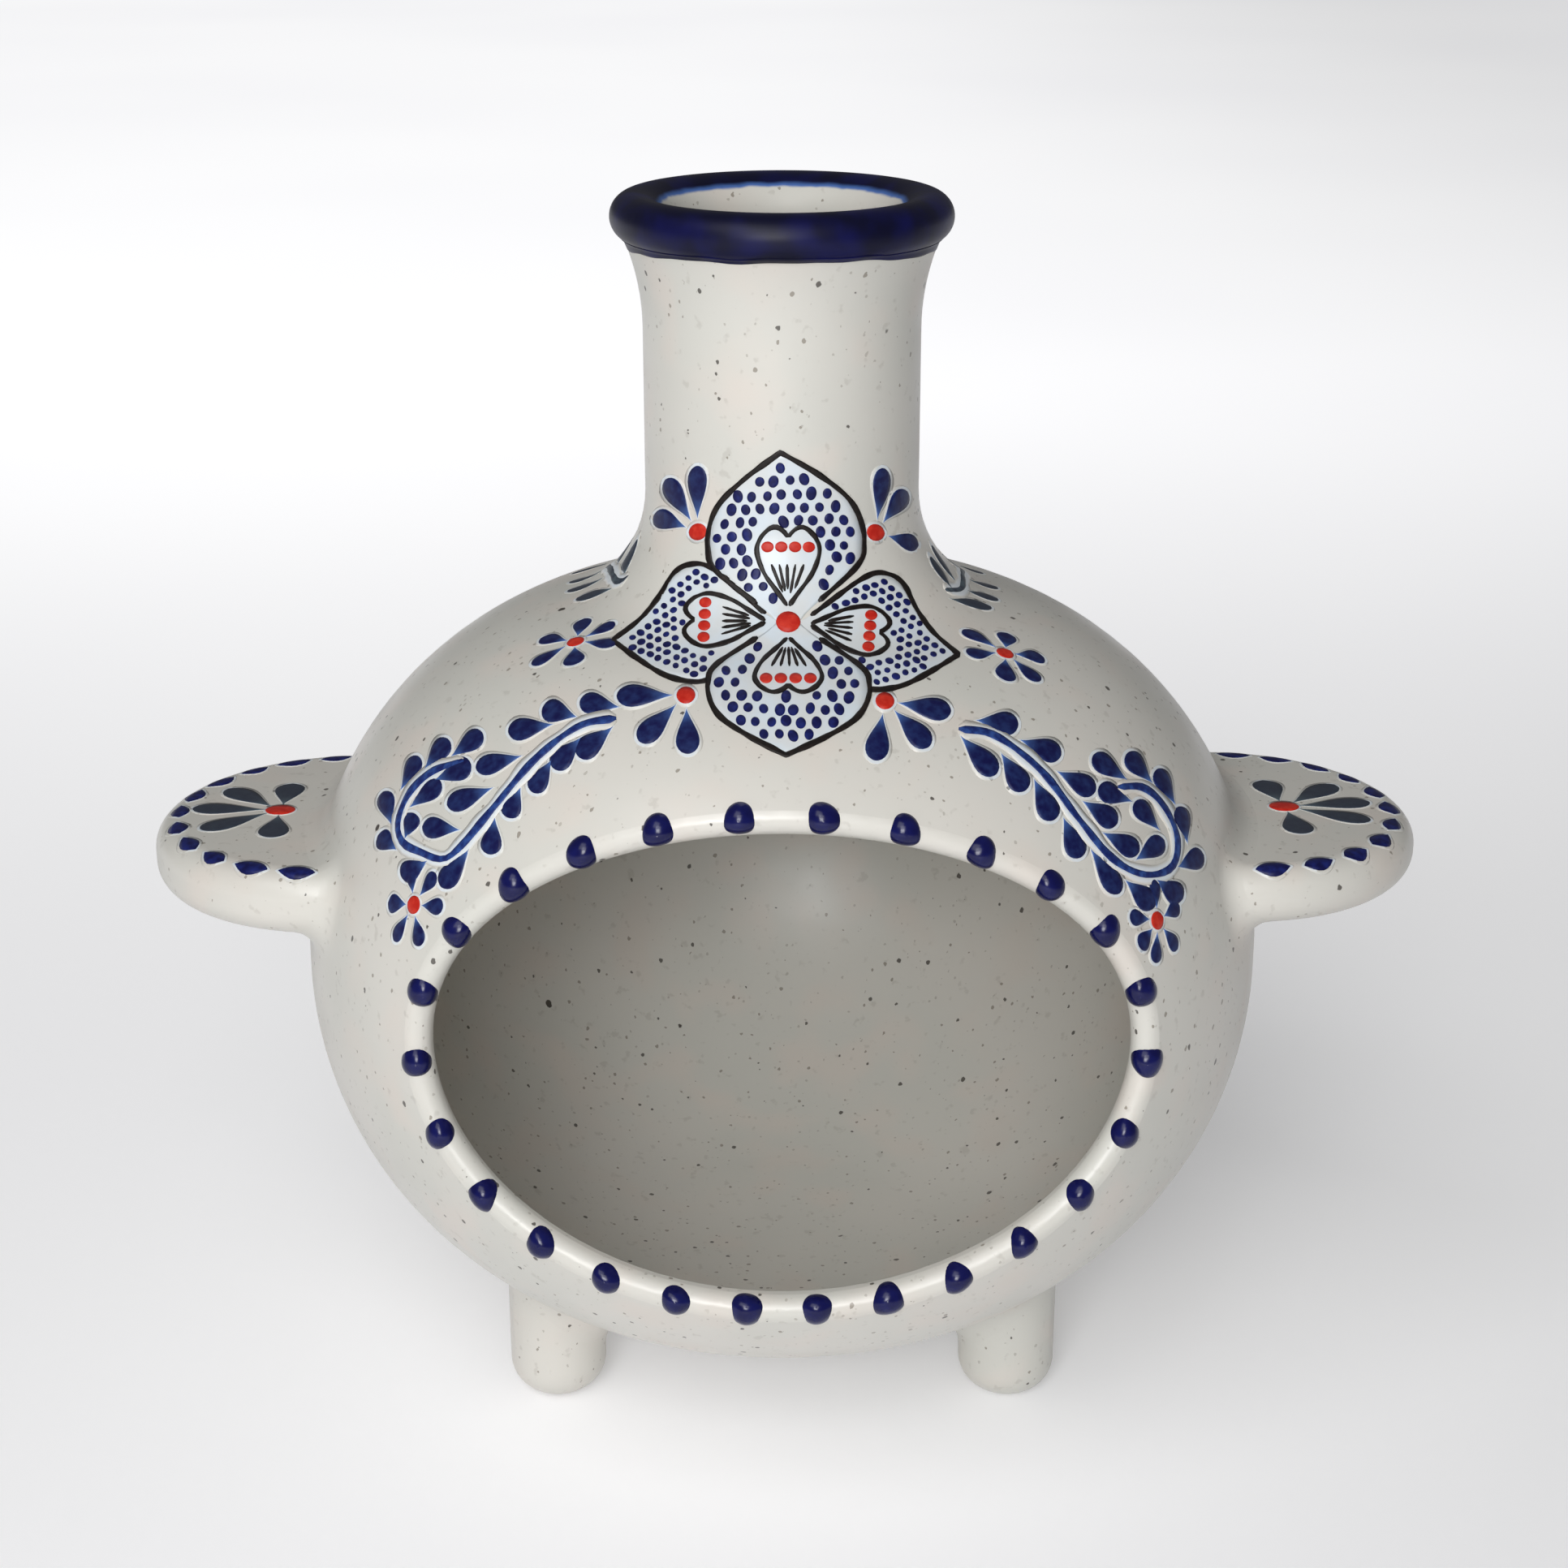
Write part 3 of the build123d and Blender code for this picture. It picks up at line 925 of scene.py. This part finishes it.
def paisley(name, stem, tails, heads, flower):
    """A hooked stem between rows of leaves, and a small flower hanging under its bend."""
    spray = Spray()
    spray.row(front, tails, heads, PAISLEY_LEAF_WIDTH)
    spray.stem(front, smooth_path(stem, 60), PAISLEY_STEM_WIDTH)
    sheet = front.tangent(*flower["centre"])
    small_flower(spray, sheet, flower["turns"], PAISLEY_FLOWER_REACH, PAISLEY_FLOWER_WIDTH)
    spray.pieces(name)


# ---------------------------------------------------------------- shoulders, fronds and lugs

# The middle of each shoulder flower, seen from above, and the direction of its first petal.
SHOULDER_FLOWERS = {
    "shoulder_flower_left": {"x": -40.4, "y": -27.9, "first_turn": 20},
    "shoulder_flower_right": {"x": 43.5, "y": -30.6, "first_turn": 30},
}
SHOULDER_PETALS = 6
SHOULDER_FLOWER_REACH = 9.6
SHOULDER_PETAL_WIDTH = 4.2


def shoulder_flower(name, x, y, first_turn):
    """A flower of six petals on the slope beside the neck."""
    spray = Spray()
    step = 360 / SHOULDER_PETALS
    turns = [first_turn + step * number + hand.uniform(-6, 6) for number in range(SHOULDER_PETALS)]
    small_flower(spray, above.tangent(x, y), turns, SHOULDER_FLOWER_REACH, SHOULDER_PETAL_WIDTH)
    spray.pieces(name)


# Half-hidden fronds beside the foot of the neck, seen from above: a hooked stem between leaves.
FROND_LEAF_WIDTH = 3.4
FROND_STEM_WIDTH = 1.0
FRONDS = {
    "frond_left": {
        "stem": (
            (-36, 8), (-34.8, -1.8), (-33.5, -9.2), (-32.1, -11.9), (-30.7, -12.5),
        ),
        "tails": (
            (-34, -11.5), (-36.5, -2), (-37.2, 7.2), (-37.4, 24),
            (-31.6, -10.6), (-33.4, -2),
        ),
        "heads": (
            (-41.6, -5.4), (-44, 3.2), (-44.2, 11.2), (-44.6, 21.8),
            (-30.4, -4.3), (-31.4, 5),
        ),
    },
    "frond_right": {
        "stem": (
            (33, 4), (37, 10), (37, 3), (36.2, -8), (32.6, -14.2),
        ),
        "tails": (
            (33.5, -15.8), (37.4, -7.2), (38.4, 1.7), (37.6, 20),
            (34.2, -11.6), (35, -6.9),
        ),
        "heads": (
            (42, -9.8), (43.8, -3), (44.4, 6.5), (42.3, 17.8),
            (30, -8.4), (30.6, -3),
        ),
    },
}


def frond(name, stem, tails, heads):
    """A slate stem and its leaves, on the slope behind a shoulder flower."""
    spray = Spray()
    spray.row(under_rim, tails, heads, FROND_LEAF_WIDTH)
    spray.stem(under_rim, smooth_path(stem, 30), FROND_STEM_WIDTH)
    spray.pieces(name, slate_brush, slate_stem)


# The directions of the petals on each lug. The middle petals reach further out than the first and last.
LUG_PETALS = {"left_lug": (90, 136, 177, 219, 273), "right_lug": (97, 46, 8, -28, -86)}
LUG_FLOWER_PLACE = (105.4, -0.5)
LUG_PETAL_GAP = 3.2
LUG_PETAL_WIDTH = 6.4
LONG_PETAL_REACH = 18.6
SHORT_PETAL_REACH = 16.2
LUG_DOT_RADIUS = 2.9

# The dashes stand on a ring inside the round edge of the lug, from its front to its back.
LUG_RADIUS = 39.0
DASH_INSET = 4.9
DASH_COUNT = 11
DASH_FIRST_TURN = -83
DASH_SWEEP = 162
DASH_LENGTH = 7.0
DASH_WIDTH = 4.2


def lug_painting(name):
    """Half a flower of five slate petals on a lug's flat top, and cobalt dashes round its edge."""
    low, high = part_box(name)
    side = 1 if high.x > 0 else -1
    tip = max(abs(low.x), abs(high.x)) / MM
    centre = np.array([side * LUG_FLOWER_PLACE[0], LUG_FLOWER_PLACE[1]])
    petals, dashes = Spray(), Spray()
    for degrees in LUG_PETALS[name]:
        outward = direction(degrees)
        reach = LONG_PETAL_REACH if abs(outward[0]) > 0.5 else SHORT_PETAL_REACH
        tail = centre + LUG_PETAL_GAP * outward
        petals.leaf(above, tail, degrees, reach - LUG_PETAL_GAP, LUG_PETAL_WIDTH)
    petals.red_dot(above, centre, LUG_DOT_RADIUS)
    petals.pieces(name + "_flower", slate_brush)
    middle = np.array([side * (tip - LUG_RADIUS), 0])
    for number in range(DASH_COUNT):
        turn = DASH_FIRST_TURN + number * DASH_SWEEP / (DASH_COUNT - 1)
        if side < 0:
            turn = 180 - turn
        inset = DASH_INSET + math.sin(math.radians(turn))
        place = middle + (LUG_RADIUS - inset) * direction(turn)
        slant = turn + 90 + hand.uniform(-8, 8)
        length = DASH_LENGTH * hand.uniform(0.9, 1.1)
        width = DASH_WIDTH * hand.uniform(0.9, 1.1)
        dashes.halos.lay(above, dab(place, slant, length, width, grow=DOT_HALO), HALO_LIFT)
        dashes.leaves.lay(above, dab(place, slant, length, width), GROUND_LIFT, crown=LEAF_CROWN)
    dashes.pieces(name + "_dashes", cobalt_dash)


dress_clay()
rim_skirt()
bead_middles = [(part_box(name)[0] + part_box(name)[1]) / 2 for name in BEAD_NODES]
mouth_middle = sum(bead_middles, Vector()) / len(bead_middles)
for bead_node in BEAD_NODES:
    glaze_drop(bead_node, mouth_middle)
main_flower()
for sprig_name, sprig_setting in SPRIGS.items():
    sprig(sprig_name, **sprig_setting)
for flower_name, flower_setting in SHOULDER_FLOWERS.items():
    shoulder_flower(flower_name, **flower_setting)
for paisley_name, paisley_setting in PAISLEYS.items():
    paisley(paisley_name, **paisley_setting)
for frond_name, frond_setting in FRONDS.items():
    frond(frond_name, **frond_setting)
for lug_name in LUG_PETALS:
    lug_painting(lug_name)


# ---------------------------------------------------------------- floor, light and camera

def floor():
    """A pale matt sheet with painted light: it glows more at the back, where less light reaches it, and
    less at the right, which is painted shade.
    """
    graph = Graph("floor_white")
    tone = graph.ramp(graph.noise(900, detail=2.0), 0.3, 0.7)
    colour = graph.mix(tone, linear(FLOOR), linear(FLOOR_COOL))
    split = graph.add("ShaderNodeSeparateXYZ", {0: graph.position()})
    # Painted light: the floor's own glow, stronger further back, with painted shade subtracted towards the
    # right.
    far = graph.ramp(split.outputs[1], -0.2, 1.1, 0.2, 0.91)
    right = graph.ramp(split.outputs[0], -0.1, 0.9, 0.0, 0.25)
    glow = graph.math("SUBTRACT", far, right)
    inputs = {"Base Color": colour, "Roughness": 0.95, "Specular IOR Level": 0.0}
    inputs["Emission Color"] = colour
    inputs["Emission Strength"] = glow
    surface = graph.add("ShaderNodeBsdfPrincipled", inputs).outputs[0]
    graph.add("ShaderNodeOutputMaterial", {"Surface": surface})
    mesh = bpy.data.meshes.new("floor")
    reach = 8.0
    corners = [(-reach, -reach, 0), (reach, -reach, 0), (reach, reach, 0), (-reach, reach, 0)]
    mesh.from_pydata(corners, [], [(0, 1, 2, 3)])
    mesh.materials.append(graph.material)
    plane = bpy.data.objects.new("floor", mesh)
    bpy.context.scene.collection.objects.link(plane)


def softbox(name, place, target, side, power):
    """A square soft light, with its side in metres and its power in watts, turned towards a target."""
    light = bpy.data.lights.new(name, "AREA")
    light.shape = "RECTANGLE"
    light.size = light.size_y = side
    light.energy = power
    thing = bpy.data.objects.new(name, light)
    thing.location = place
    thing.rotation_euler = (Vector(target) - Vector(place)).to_track_quat("-Z", "Y").to_euler()
    bpy.context.scene.collection.objects.link(thing)


def studio():
    world = bpy.data.worlds.new("studio")
    world.use_nodes = True
    background = world.node_tree.nodes["Background"]
    background.inputs["Color"].default_value = (1, 1, 1, 1)
    background.inputs["Strength"].default_value = 0.14
    bpy.context.scene.world = world
    softbox("key", (-0.6, -1.0, 1.6), (0, 0, 0.1), 1.2, 10)
    softbox("front", (-0.2, -1.6, 1.2), (0, 0, 0.1), 1.0, 12)
    softbox("near", (-0.12, -0.85, 0.4), (0, 0, 0.09), 0.3, 3.3)
    bpy.context.scene.view_settings.view_transform = "Standard"


def camera():
    lens = bpy.data.cameras.new("camera")
    lens.sensor_width = SENSOR_WIDTH
    lens.lens = LENS
    lens.clip_start, lens.clip_end = 0.01, 100
    thing = bpy.data.objects.new("camera", lens)
    thing.location = CAMERA_PLACE
    thing.rotation_euler = (math.radians(90 - CAMERA_DIP), 0, 0)
    bpy.context.scene.collection.objects.link(thing)
    bpy.context.scene.camera = thing


floor()
studio()
camera()
